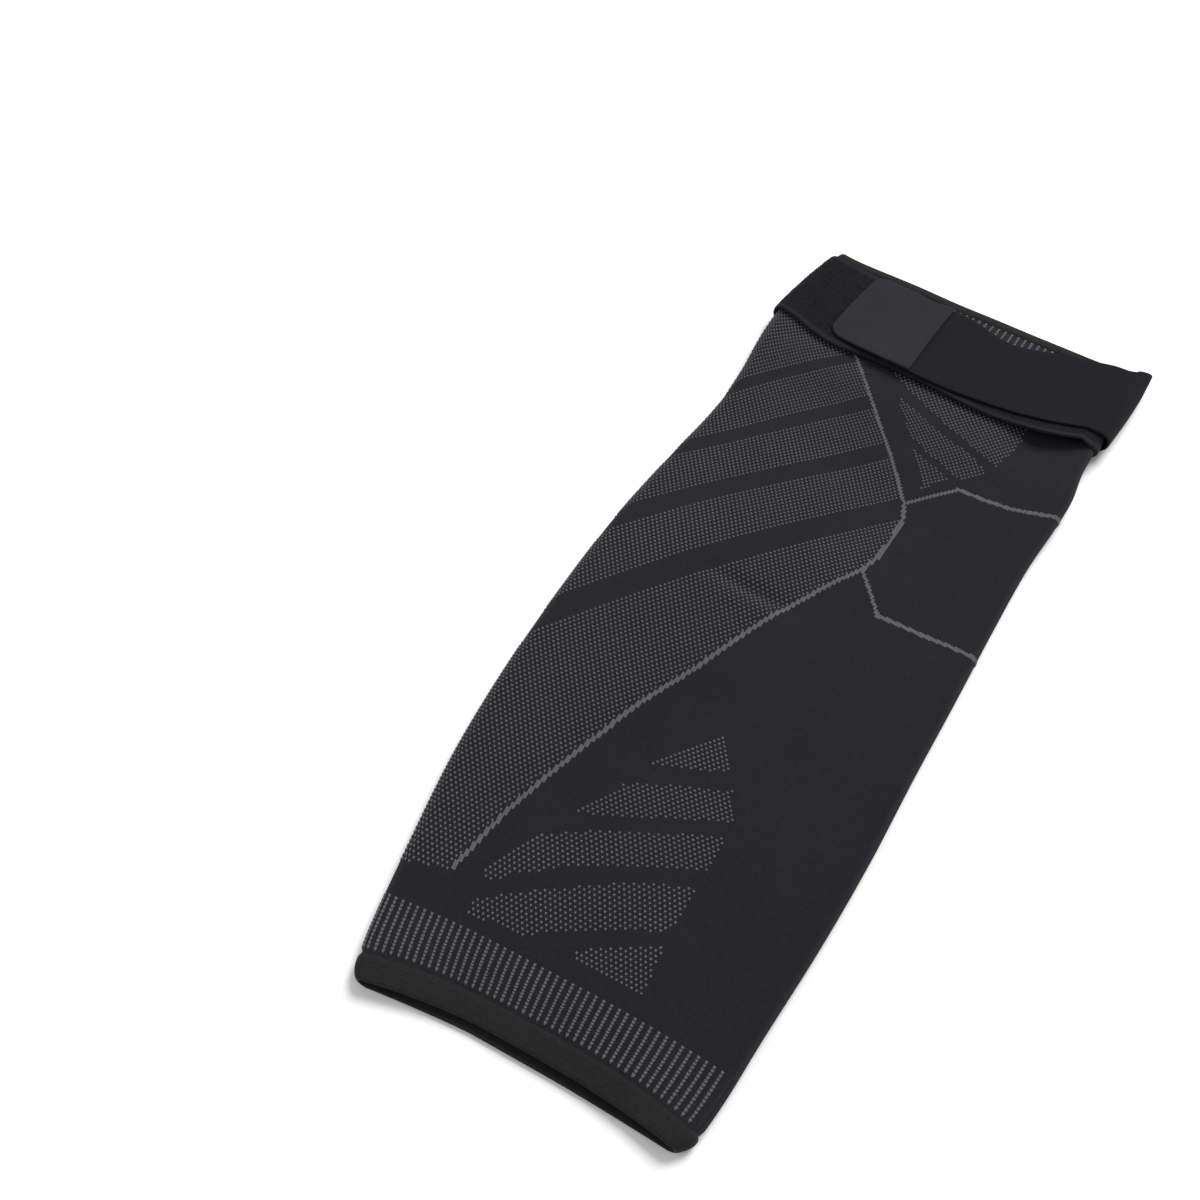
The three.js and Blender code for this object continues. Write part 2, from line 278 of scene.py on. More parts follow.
# Ticks of the cuffs: chains of stitches, on every rib but those of the right fold. The gaps are how far they
# end from the welts and from the knitted body.
TICK_BEADS = 14
TICK_WIDTH = 1.2
TICK_OVERLAP = 0.94
PLAIN_FOLD = (0.497, 0.553)
CALF_TICK_GAP = 1.4
THIGH_TICK_GAP = 1
BODY_TICK_GAP = 0.5

# Steps of the meshes
FOLD_STEPS = 14
PANEL_STEPS = 100
BODY_ROWS = 200
LINING_ROWS = 40
RIB_STEPS = 8
CUFF_ROWS = 15
CUFF_LINING_ROWS = 5
EDGE_STEPS = 8
WIDTH_STEPS = 20
TAB_STEPS = 40
PLACING_ROUNDS = 8

# How close the second row of a knitted piece lies to its end, and that of a welt as a share of its length
EDGE_HOLD = 0.06
WELT_HOLD = 0.06

# Colours, as linear light
KNIT_COLOUR = (0.0141, 0.0133, 0.0175)
CUFF_COLOUR = (0.0160, 0.0151, 0.0192)
WELT_COLOUR = (0.0147, 0.0146, 0.0144)
PILE_COLOUR = (0.0058, 0.0054, 0.0082)
STRAP_COLOUR = (0.0098, 0.0091, 0.0122)
TAB_COLOUR = (0.0202, 0.0192, 0.0244)
YARN_COLOUR = (0.0960, 0.0925, 0.1040)
FLOOR_COLOUR = (0.9, 0.9, 0.895)

# Relief of the plain knit: slope of a stitch's arms in courses for each wale, height that is left where they
# start, and share of lint
ARM_SLOPE = 1.3
LOOP_SHALLOW = 0.35
LINT_SHARE = 0.3

# Threads of the woven tapes: ribs and picks of the elastic, and both ways in the hook tape
ELASTIC_RIB = 1.1
ELASTIC_PICK = 0.75
TAPE_THREAD = 0.7

# White room with a floor and soft lights, in metres and watts: each light's name, place, size and power
FLOOR_REACH = 6.0
ROOM_STRENGTH = 0.52
LIGHTS = [("key", (0.5, 1.7, 2.4), 1.4, 88), ("fill", (-0.7, -1.2, 1.5), 1.6, 6)]

# Camera, from the perspective of the photograph, with its angles in degrees
CAMERA_PLACE = (77.42, -85.9, 358.0)
CAMERA_DOWN = 51.28
CAMERA_TURN = 30.491
CAMERA_LENS = 36.045
SENSOR = 36
NEAREST_SEEN = 10


def smooth_table(rows):
    """Smooth curves through a table's rows, read off at places in its first column."""
    places, values = rows[:, 0], rows[:, 1:]
    slopes = np.diff(values, axis=0) / np.diff(places)[:, None]
    tangents = np.concatenate([slopes[:1], (slopes[1:] + slopes[:-1]) / 2, slopes[-1:]])

    def read(at):
        at = np.clip(np.asarray(at, float), places[0], places[-1])
        low = np.clip(np.searchsorted(places, at, "right") - 1, 0, len(places) - 2)
        span = (places[low + 1] - places[low])[..., None]
        p = (at - places[low])[..., None] / span
        result = (2 * p**3 - 3 * p**2 + 1) * values[low] + (3 * p**2 - 2 * p**3) * values[low + 1]
        result = result + span * ((p**3 - 2 * p**2 + p) * tangents[low] + (p**3 - p**2) * tangents[low + 1])
        return np.moveaxis(result, -1, 0)

    return read


section_at = smooth_table(SECTIONS)
course_length_at = smooth_table(COURSE_LENGTHS)
band_edges_at = smooth_table(BAND_EDGES)
strap_edges_at = smooth_table(STRAP_EDGES)


def smoothstep(low, high, at):
    """0 below low and 1 above high, with a soft rise between them."""
    p = np.clip((at - low) / (high - low), 0, 1)
    return p * p * (3 - 2 * p)


def crown(reach):
    """Rise of the crowned upper panel, from 0 at the folds to 1 in the middle."""
    return (1 - np.clip(np.abs(reach), 0, 1) ** 4) ** 2


def bow_part(reach):
    """Share of a panel's bow, from 0 at the folds to 1 in the middle."""
    return 1 - np.abs(reach) ** 3


def unevenness(across, along):
    """Height of the cloth's waves less the depth of its dents."""
    height = 0
    for rise, waves_across, waves_along, phase in WAVES:
        turned = 2 * np.pi * MM * (waves_across * across + waves_along * along) + phase
        height = height + rise * np.sin(turned)
    for dent_across, dent_along, depth, reach_across, reach_along in DENTS:
        distance = ((across - dent_across) / reach_across) ** 2 + ((along - dent_along) / reach_along) ** 2
        height = height - depth * np.exp(-distance)
    return height


def tube_point(along, share, offset=0.0, slack=0.0):
    """Points of the flattened tube. offset is outwards from the knit's outer face, and slack is how far a
    layer stands out at the right."""
    given = (np.asarray(value, float) for value in (along, share, offset, slack))
    along, share, offset, slack = np.broadcast_arrays(*given)
    left, right, lift, height, slant, bow = section_at(along)
    base = np.maximum(lift, 0) + STITCH_RELIEF
    fold = FOLD_HEIGHT - STITCH_RELIEF
    radius = fold / 2 + offset
    middle = (left + right + slack) / 2
    half = (right + slack - left - fold) / 2
    left_turn = np.pi * (share / FOLD_SHARE - 0.5)
    right_turn = np.pi * (0.5 - (share - RIGHT_FOLD) / FOLD_SHARE)
    top_reach = 2 * (share - FOLD_SHARE) / PANEL_SHARE - 1
    low_reach = 1 - 2 * (share - UNDERSIDE) / PANEL_SHARE
    top_x = middle + half * top_reach
    rise = (height - FOLD_HEIGHT + unevenness(top_x, along)) * crown(top_reach)
    sides = [share < FOLD_SHARE, share < RIGHT_FOLD, share < UNDERSIDE]
    x = np.select(sides, [middle - half - radius * np.cos(left_turn), top_x,
                          middle + half + radius * np.cos(right_turn)], middle + half * low_reach)
    z = np.select(sides, [base + fold / 2 + radius * np.sin(left_turn), base + fold + offset + rise,
                          base + fold / 2 + radius * np.sin(right_turn)], base - offset)
    bowed = np.select(sides, [0, bow * bow_part(top_reach), 0],
                      UNDER_BOW * np.maximum(bow, 0) * bow_part(low_reach))
    reach = np.select(sides, [-1, top_reach, 1], low_reach)
    corner = np.clip((np.abs(reach) - CURL_START) / (1 - CURL_START), 0, 1) ** CURL_POWER
    curled = np.where(reach < 0, LEFT_CURL, RIGHT_CURL) * corner * (1 - smoothstep(0, CURL_REACH, along))
    return np.stack([x, along + slant * x + bowed - curled, z], -1)


def layer_point(y, share, offset, slack=0.0):
    """Points of a layer round the tube at places y of the floor, not along the slanted, bowed courses."""
    along = np.asarray(y, float)
    for _ in range(PLACING_ROUNDS):
        along = along + y - tube_point(along, share, offset, slack)[..., 1]
    points = tube_point(along, share, offset, slack)
    points[..., 1] = y
    return points


def top_share(across, along):
    """Share of the upper panel that lies at a place across the sleeve."""
    left, right = section_at(along)[:2]
    fold = FOLD_HEIGHT - STITCH_RELIEF
    reach = (across - (left + right) / 2) / ((right - left - fold) / 2)
    return FOLD_SHARE + PANEL_SHARE * (reach + 1) / 2


def upper_share(share):
    """The place on the upper side that a place on the underside mirrors."""
    mirrored = np.where(share < FOLD_SHARE, FOLD_SHARE - share, 1 + FOLD_SHARE - share)
    lower = (share < FOLD_SHARE / 2) | (share > RIGHT_FOLD + FOLD_SHARE / 2)
    return np.where(lower, mirrored, share)


def under_share(share):
    """The place on the underside that mirrors a place on the upper side."""
    return (1 + FOLD_SHARE - share) % 1


def spread(even_share):
    """Share of the tube where a wale lies. Wales that are stretched more at the left move to the right."""
    on_top = upper_share(even_share)
    reach = np.clip(2 * (on_top - FOLD_SHARE) / PANEL_SHARE - 1, -1, 1)
    moved = PANEL_SHARE / 2 * LEFT_STRETCH * (1 - reach**2)
    return np.where(on_top == even_share, even_share + moved, even_share - moved)


def course_places():
    """Place along the sleeve of each course of the knitted body."""
    places = [float(CALF_CUFF_END)]
    while places[-1] < THIGH_CUFF_START:
        places.append(places[-1] + float(course_length_at(places[-1])[0]))
    return np.array(places)


COURSES = course_places()
CUFF_COURSE = COURSE_LENGTHS[0, 1]

# Millimetres from the table frame to the row frame
SHIFT = np.append(np.array(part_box("calf_welt")[0])[:2] / MM - CALF_WELT_LOW, 0)


# Making meshes


def make_object(name, points, faces, texture=None):
    """A smooth mesh object from table points. texture holds two weave coordinates for each face corner."""
    mesh = bpy.data.meshes.new(name)
    mesh.from_pydata((points.reshape(-1, 3) + SHIFT) * MM, [], faces)
    if texture is not None:
        layer = mesh.uv_layers.new(name="weave")
        layer.uv.foreach_set("vector", np.ascontiguousarray(texture, np.float32).ravel())
    mesh.polygons.foreach_set("use_smooth", [True] * len(mesh.polygons))
    mesh.update()
    thing = bpy.data.objects.new(name, mesh)
    bpy.context.scene.collection.objects.link(thing)
    return thing


def ring_object(name, points, row_places, column_places, closed=True):
    """A mesh through rows of points, each a closed ring. The last row joins the first, or else one face fills
    each end. The places give weave coordinates, with one more where a side closes."""
    rows, columns = points.shape[:2]
    spans = rows if closed else rows - 1
    row, column = (grid.ravel() for grid in np.meshgrid(np.arange(spans), np.arange(columns), indexing="ij"))
    next_row, next_column = (row + 1) % rows, (column + 1) % columns
    faces = np.stack([row * columns + column, row * columns + next_column,
                      next_row * columns + next_column, next_row * columns + column], 1).tolist()
    u = np.asarray(column_places, float)[np.stack([column, column + 1, column + 1, column], 1)]
    v = np.asarray(row_places, float)[np.stack([row, row, row + 1, row + 1], 1)]
    texture = np.stack([u, v], -1).reshape(-1, 2)
    if not closed:
        ring = np.arange(columns)
        faces += [ring[::-1].tolist(), (ring + (rows - 1) * columns).tolist()]
        texture = np.concatenate([texture, np.zeros((2 * columns, 2))])
    return make_object(name, points, faces, texture)


def round_shares():
    """Shares once round the tube, without the last, which is the first again."""
    stretches = [(0, FOLD_SHARE, FOLD_STEPS), (FOLD_SHARE, RIGHT_FOLD, PANEL_STEPS),
                 (RIGHT_FOLD, UNDERSIDE, FOLD_STEPS), (UNDERSIDE, 1, PANEL_STEPS)]
    return np.concatenate([np.linspace(start, end, count, endpoint=False) for start, end, count in stretches])


# Knitted pieces


def held_rows(start, end, count, hold=EDGE_HOLD):
    """Even places from start to end, with one more close to each end, so that the end stays crisp."""
    inwards = math.copysign(hold, end - start)
    return np.concatenate([[start], np.linspace(start + inwards, end - inwards, count - 2), [end]])


def knit_body():
    """The knitted tube between the cuffs, outer face and lining."""
    shares = round_shares()
    outer = held_rows(CALF_CUFF_END, THIGH_CUFF_START, BODY_ROWS)
    lining = held_rows(THIGH_CUFF_START, CALF_CUFF_END, LINING_ROWS)
    along = np.concatenate([outer, lining])
    offset = np.concatenate([np.zeros(BODY_ROWS), np.full(LINING_ROWS, -WALL)])
    points = tube_point(along[:, None], spread(shares)[None, :], offset[:, None])
    row_places = np.interp(np.append(along, along[0]), COURSES, np.arange(len(COURSES)))
    return ring_object("knit_body", points, row_places, np.append(shares, 1) * WALES_ROUND)


def rib_cuff(name, start, end, welt_side):
    """A rib cuff: its outer face swells to a crest at each tick, and sinks between ticks and at the welt."""
    count = RIBS_ROUND * RIB_STEPS
    shares = np.arange(count) / count
    outer = held_rows(start, end, CUFF_ROWS)
    lining = held_rows(end, start, CUFF_LINING_ROWS)
    ends = smoothstep(0, RIB_FADE, outer - start) * smoothstep(0, RIB_FADE, end - outer)
    sunk = 0.5 + 0.5 * np.cos(2 * np.pi * RIBS_ROUND * shares)
    groove = WELT_GROOVE * (1 - smoothstep(0, GROOVE_REACH, np.abs(outer - welt_side)))
    ribs = -RIB_RELIEF * ends[:, None] * sunk - groove[:, None]
    offset = np.concatenate([ribs, np.full((len(lining), count), -WALL)])
    along = np.concatenate([outer, lining])
    points = tube_point(along[:, None], shares[None, :], offset)
    row_places = np.append(along, along[0]) / CUFF_COURSE
    return ring_object(name, points, row_places, np.append(shares, 1) * WALES_ROUND)


def welt(name, start, end):
    """A turned welt: it swells a little from the cuff and ends in a rounded edge. end is the free edge."""
    shares = round_shares()
    outwards = np.sign(end - start)
    radius = WALL / 2
    part = held_rows(0, 1, 2 * EDGE_STEPS, WELT_HOLD)
    flat_along = start + (end - outwards * radius - start) * part
    groove = WELT_GROOVE * (1 - smoothstep(0, GROOVE_REACH, np.abs(flat_along - start)))
    swell = WELT_SWELL * np.sin(np.pi * part) ** WELT_FULLNESS - groove
    turn = np.linspace(0, np.pi, 2 * EDGE_STEPS)[1:-1]
    edge_along = end - outwards * radius * (1 - np.sin(turn))
    along = np.concatenate([flat_along, edge_along, flat_along[::-1]])
    offset = np.concatenate([swell, radius * (np.cos(turn) - 1), np.full(len(part), -WALL)])
    if outwards < 0:
        along, offset = along[::-1], offset[::-1]
    points = tube_point(along[:, None], spread(shares)[None, :], offset[:, None])
    row_places = np.append(along, along[0]) / CUFF_COURSE
    return ring_object(name, points, row_places, np.append(shares, 1) * WALES_ROUND)


# Strap layers


def band_profile(width, thickness):
    """Cross-section of a flat band with rounded edges: distance from its lower edge, and height."""
    radius = thickness / 2
    across = np.linspace(radius, width - radius, WIDTH_STEPS)
    turn = np.linspace(-np.pi / 2, np.pi / 2, EDGE_STEPS)[1:-1]
    distance = np.concatenate([across, width - radius + radius * np.cos(turn), across[::-1],
                               radius - radius * np.cos(turn)])
    height = np.concatenate([np.zeros(WIDTH_STEPS), radius + radius * np.sin(turn),
                             np.full(WIDTH_STEPS, thickness), radius - radius * np.sin(turn)])
    return distance, height


def lift_off(share, across, y):
    """How far the strap layers stand off the knit near the loop band's lower edge, on the upper side only."""
    above = np.maximum(y - band_edges_at(across)[0], 0)
    reach = np.where(across < BULGE_PLACE, BULGE_REACH_LEFT, BULGE_REACH_RIGHT)
    bulge = EDGE_LIFT + BULGE_LIFT * np.exp(-(((across - BULGE_PLACE) / reach) ** 2))
    upper = smoothstep(0, FOLD_SHARE, share) * (1 - smoothstep(*LIFT_END, share))
    return upper * bulge * np.exp(-above / LIFT_FADE)


def strap_lift(share, across, y):
    """As lift_off, with the strap's own stand-off from the loop band at its lower edge."""
    above = np.maximum(y - strap_edges_at(across)[0], 0)
    upper = 1 - smoothstep(RIGHT_FOLD, UNDERSIDE, share)
    return lift_off(share, across, y) + upper * STRAP_EDGE_LIFT * np.exp(-above / STRAP_LIFT_FADE)


def under_shift(share):
    """How much nearer to the thigh the strap layers run on the underside."""
    return UNDER_SHIFT * smoothstep(*UNDER_SHIFT_START, share) * (1 - smoothstep(1 - FOLD_SHARE, 1, share))


def lengths(points):
    """Distance along a row of points from the first."""
    return np.append(0, np.cumsum(np.linalg.norm(np.diff(points, axis=0), axis=1)))


def band_point(shares, distance, height):
    """Points of the loop band, by their distance from its lower edge and height from its inner face."""
    across = tube_point(BAND_MIDDLE, shares, BAND_CLEARANCE + BAND_THICKNESS)[..., 0]
    low, high = band_edges_at(across)
    y = low + (high - low) * distance / BAND_WIDTH + under_shift(shares)
    sewn = smoothstep(*SEAM_START, shares) * (1 - smoothstep(*SEAM_END, shares))
    offset = BAND_CLEARANCE + height + lift_off(shares, across, y) - SEAM_SINK * sewn
    return layer_point(y, shares, offset)


def loop_band():
    """Loop-pile band all the way round the tube."""
    shares = round_shares()[:, None]
    distance, height = band_profile(BAND_WIDTH, BAND_THICKNESS)
    points = band_point(shares, distance, height)
    middle = points[:, WIDTH_STEPS // 2]
    return ring_object("loop_band", points, lengths(np.vstack([middle, middle[:1]])),
                       np.append(distance, distance[0]))


def pile_tufts():
    """Tufts of the loop pile: low leaning cones strewn over the band's outer face, as one mesh. Each has a
    foot of three points and a tip."""
    foot = np.arange(3) * 2 * np.pi / 3
    strewn = np.random.default_rng(TUFTS)
    share = strewn.uniform(0, 1, (TUFTS, 1))
    distance = strewn.uniform(BARE_EDGE, BAND_WIDTH - BARE_EDGE, (TUFTS, 1))
    turn = strewn.uniform(0, 2 * np.pi, (TUFTS, 1)) + np.append(foot, 0)
    varied = strewn.uniform(1 - TUFT_VARIETY, 1 + TUFT_VARIETY, (TUFTS, 1))
    reach = varied * np.array([TUFT_RADIUS] * 3 + [TUFT_LEAN])
    height = np.repeat([[TUFT_ROOT] * 3 + [TUFT_HEIGHT]], TUFTS, axis=0)
    points = band_point((share + reach * np.cos(turn) / BAND_LENGTH) % 1, distance + reach * np.sin(turn),
                        BAND_THICKNESS + height)
    faces = np.arange(TUFTS)[:, None, None] * 4 + np.array([(0, 1, 3), (1, 2, 3), (2, 0, 3), (0, 2, 1)])
    return make_object("band_pile", points, faces.reshape(-1, 3))


def end_rounding(places, radius):
    """Share of the full thickness near the ends of a strap, which are rounded off."""
    near = np.clip(np.minimum(places - places[0], places[-1] - places) / radius, 0, 1)
    return np.sqrt(np.maximum(1 - (1 - near) ** 2, END_THINNEST**2))


def press_loop(points, shares, part, offset):
    """Sharpen the fold of the strap's loop and press it flat, the more the nearer to its upper edge."""
    turn = np.pi * np.clip(0.5 - (shares - RIGHT_FOLD) / FOLD_SHARE, -0.5, 0.5)
    round_fold = np.cos(turn)
    sharp_fold = round_fold ** (1 + FOLD_SHARPNESS * part)
    points[..., 0] += (FOLD_HEIGHT / 2 + offset) * (sharp_fold - round_fold)
    outwards = smoothstep(LOOP_PRESS_START, LOOP_PRESS_END, points[..., 0])
    pressed = LOOP_PRESS * outwards * smoothstep(LOOP_PRESS_FROM, 1, part)
    points[..., 2] -= pressed * (FOLD_HEIGHT / 2 + STRAP_INNER) * np.sin(turn)


def pull_strap():
    """Pull strap: over the front from its free end, round the right fold in a loose loop, back underneath."""
    start = top_share(STRAP_FREE_END, BAND_MIDDLE)
    sewn = 1 + FOLD_SHARE - top_share(STRAP_SEWN_END, BAND_MIDDLE)
    front = np.linspace(start, RIGHT_FOLD, PANEL_STEPS, endpoint=False)
    fold = np.linspace(RIGHT_FOLD, UNDERSIDE, 2 * FOLD_STEPS, endpoint=False)
    back = np.linspace(UNDERSIDE, sewn, PANEL_STEPS // 2)
    shares = np.concatenate([front, fold, back])[:, None]
    distance, height = band_profile(STRAP_WIDTH, STRAP_THICKNESS)
    across = tube_point(BAND_MIDDLE, shares, STRAP_INNER + STRAP_THICKNESS)[..., 0]
    part = distance / STRAP_WIDTH
    low, high = strap_edges_at(across)
    y = low + (high - low) * part + under_shift(shares)
    slack = LOOP_SLACK_LOW + (LOOP_SLACK_HIGH - LOOP_SLACK_LOW) * np.sin(np.pi / 2 * part)
    thin = end_rounding(shares[:, 0], STRAP_END_ROUNDING)[:, None]
    core = STRAP_THICKNESS / 2
    offset = STRAP_INNER + core + (height - core) * thin + strap_lift(shares, across, y)
    points = layer_point(y, shares, offset, slack)
    press_loop(points, shares, part, offset)
    return ring_object("pull_strap", points, lengths(points[:, WIDTH_STEPS // 2]),
                       np.append(distance, distance[0]), closed=False)


def hook_tab():
    """Hook tab: rounded at its free left end, stepping up over the end of the strap at its right."""
    turn = np.linspace(0, np.pi / 2, EDGE_STEPS * 2)
    corner = TAB_LEFT + TAB_CORNER * (1 - np.cos(turn))
    middle = np.linspace(TAB_LEFT + TAB_CORNER, TAB_RIGHT - TAB_END_REACH, TAB_STEPS)
    end = TAB_RIGHT - TAB_END_REACH * np.cos(turn[:-1:3])
    across = np.unique(np.concatenate([corner, middle[1:], end, [TAB_RIGHT]]))[:, None]
    past = np.minimum(across - TAB_LEFT, TAB_CORNER)
    cut = TAB_CORNER - np.sqrt(TAB_CORNER**2 - (TAB_CORNER - past) ** 2)
    distance, height = band_profile(STRAP_WIDTH, TAB_THICKNESS)
    part = distance / STRAP_WIDTH
    low, high = strap_edges_at(across)
    inset = cut - TAB_OVERHANG
    y = low + inset + (high - low - 2 * inset) * part
    step_up = (STRAP_THICKNESS + LAYER_GAP) * smoothstep(TAB_RAMP_START, TAB_RAMP_END, across)
    shares = top_share(across[:, 0], BAND_MIDDLE)[:, None]
    core = TAB_THICKNESS / 2
    thin = end_rounding(across[:, 0], TAB_END_ROUNDING)[:, None]
    offset = STRAP_INNER + step_up + core + (height - core) * thin + strap_lift(shares, across, y)
    points = layer_point(y, shares, offset)
    return ring_object("hook_tab", points, across[:, 0], np.append(distance, distance[0]), closed=False)


# Grey stitches of the pattern


def inside(points, outline):
    """Which plan points lie inside an outline."""
    x, y = points[..., 0], points[..., 1]
    odd = np.zeros(x.shape, bool)
    for (x1, y1), (x2, y2) in zip(outline, outline[1:] + outline[:1]):
        if y1 != y2:
            crosses = (y1 > y) != (y2 > y)
            odd ^= crosses & (x < x1 + (x2 - x1) * (y - y1) / (y2 - y1))
    return odd


def near_line(points, half_width, line):
    """Which plan points lie within half_width of a line of straight runs."""
    found = np.zeros(points.shape[:-1], bool)
    for start, end in zip(np.array(line[:-1], float), np.array(line[1:], float)):
        run = end - start
        part = np.clip(((points - start) @ run) / (run @ run), 0, 1)
        found |= np.linalg.norm(points - start - part[..., None] * run, axis=-1) < half_width
    return found


def cell_share(wale):
    """Share of the tube at the middle of a wale."""
    return spread((np.asarray(wale, float) + 0.5) / WALES_ROUND)


# Wales of the upper side, from the middle of one fold to the middle of the other
UPPER_WALES = np.arange(math.ceil(WALES_ROUND * FOLD_SHARE / 2),
                        int(WALES_ROUND * (RIGHT_FOLD + FOLD_SHARE / 2)))


def is_dot(course, wale):
    """Whether a cell holds a dot: every second course has one in every second wale, in turn."""
    return (course % 2 == 0) & ((wale + course // 2) % 2 == 0)


def climbing_cells(line):
    """Each course that a climbing line crosses, and the whole wale that it takes there."""
    line = np.array(sorted(line, key=lambda point: point[1]), float)
    courses, wales = [], []
    for course in range(len(COURSES)):
        plan = tube_point(COURSES[course], cell_share(UPPER_WALES))[:, :2]
        away = plan[:, 0] - np.interp(plan[:, 1], line[:, 1], line[:, 0])
        crossing = np.interp(0, away, UPPER_WALES)
        if line[0, 1] < np.interp(crossing, UPPER_WALES, plan[:, 1]) < line[-1, 1]:
            courses.append(course)
            wales.append(round(crossing))
    return np.array(courses), np.array(wales)


def pattern():
    """Course and wale of the dots, and of the stitches of the grey lines, on the upper side."""
    inner_courses = np.arange(1, len(COURSES) - 1)
    course, wale = (grid.ravel() for grid in np.meshgrid(inner_courses, UPPER_WALES, indexing="ij"))
    plan = tube_point(COURSES[course], cell_share(wale))[:, :2]
    dotted = inside(plan, DOTTED_SIDE)
    diagonal = wale - course / 2
    for first, last in BLACK_STRIPES:
        dotted &= (diagonal < first) | (diagonal > last)
    for patch in THIGH_PATCHES + CALF_LEAVES:
        dotted |= inside(plan, patch)
    lined = np.zeros(len(wale), bool)
    for half_width, line in GREY_LINES:
        lined |= near_line(plan, half_width, line)
    climb_course, climb_wale = climbing_cells(CLIMBING_LINE)
    beside = np.abs(wale - np.interp(course, climb_course, climb_wale)) < CLIMB_CLEARANCE
    climbing = beside & (course >= climb_course[0]) & (course <= climb_course[-1])
    dots = dotted & ~lined & ~climbing & is_dot(course, wale)
    sides = len(CLIMB_WALES)
    line_course = np.concatenate([course[lined], np.repeat(climb_course, sides)])
    line_wale = np.concatenate([wale[lined], np.add.outer(climb_wale, CLIMB_WALES).ravel()])
    return (COURSES[course[dots]], cell_share(wale[dots])), (COURSES[line_course], cell_share(line_wale))


def stitch_object(name, along, share, width, length):
    """Stitches of grey yarn that stand out of the knit, as one mesh. width is in wales, length in courses."""
    count = len(share)
    quarter_wale = 0.25 / WALES_ROUND
    here = tube_point(along, share)
    across = tube_point(along, (share + quarter_wale) % 1) - tube_point(along, (share - quarter_wale) % 1)
    varied = np.random.default_rng(count).uniform(1 - STITCH_VARIETY, 1 + STITCH_VARIETY, (count, 1))
    wide = np.linalg.norm(across, axis=1, keepdims=True) * 2 * width * varied
    up = tube_point(along + 0.5, share) - tube_point(along - 0.5, share)
    long = np.linalg.norm(up, axis=1, keepdims=True) * course_length_at(along)[0][:, None] * length
    across, up = (v / np.linalg.norm(v, axis=1, keepdims=True) for v in (across, up))
    out = np.cross(across, up)
    foot = [(x, y, STITCH_ROOT) for x, y in STITCH_FOOT]
    shape = np.array(foot + STITCH_SHOULDER + [STITCH_HOLLOW])
    points = (here[:, None] + shape[None, :, 0:1] * (across * wide)[:, None]
              + shape[None, :, 1:2] * (up * long)[:, None] + shape[None, :, 2:3] * out[:, None])
    around = len(STITCH_FOOT)
    sides = [(i, (i + 1) % around, around + (i + 1) % around, around + i) for i in range(around)]
    caps = [(around + i, around + (i + 1) % around, 2 * around) for i in range(around)]
    triangles = [t for a, b, c, d in sides for t in ((a, b, c), (a, c, d))] + caps
    triangles += [(0, i + 1, i) for i in range(1, around - 1)]
    first = np.arange(count) * len(shape)
    faces = (first[:, None, None] + np.array(triangles)[None]).reshape(-1, 3)
    return make_object(name, points, faces)


def ticks(name, start, end):
    """Ticks of a rib cuff: on each rib but those of the right fold, a chain of stitches."""
    beads = np.linspace(start, end, TICK_BEADS)
    ribs = (np.arange(RIBS_ROUND) + 0.5) / RIBS_ROUND
    ribs = ribs[(ribs < PLAIN_FOLD[0]) | (ribs > PLAIN_FOLD[1])]
    along, share = (grid.ravel() for grid in np.meshgrid(beads, ribs, indexing="ij"))
    courses_each = (end - start) / (TICK_BEADS - 1) / CUFF_COURSE
    return stitch_object(name, along, share, TICK_WIDTH, courses_each * TICK_OVERLAP)


# Materials


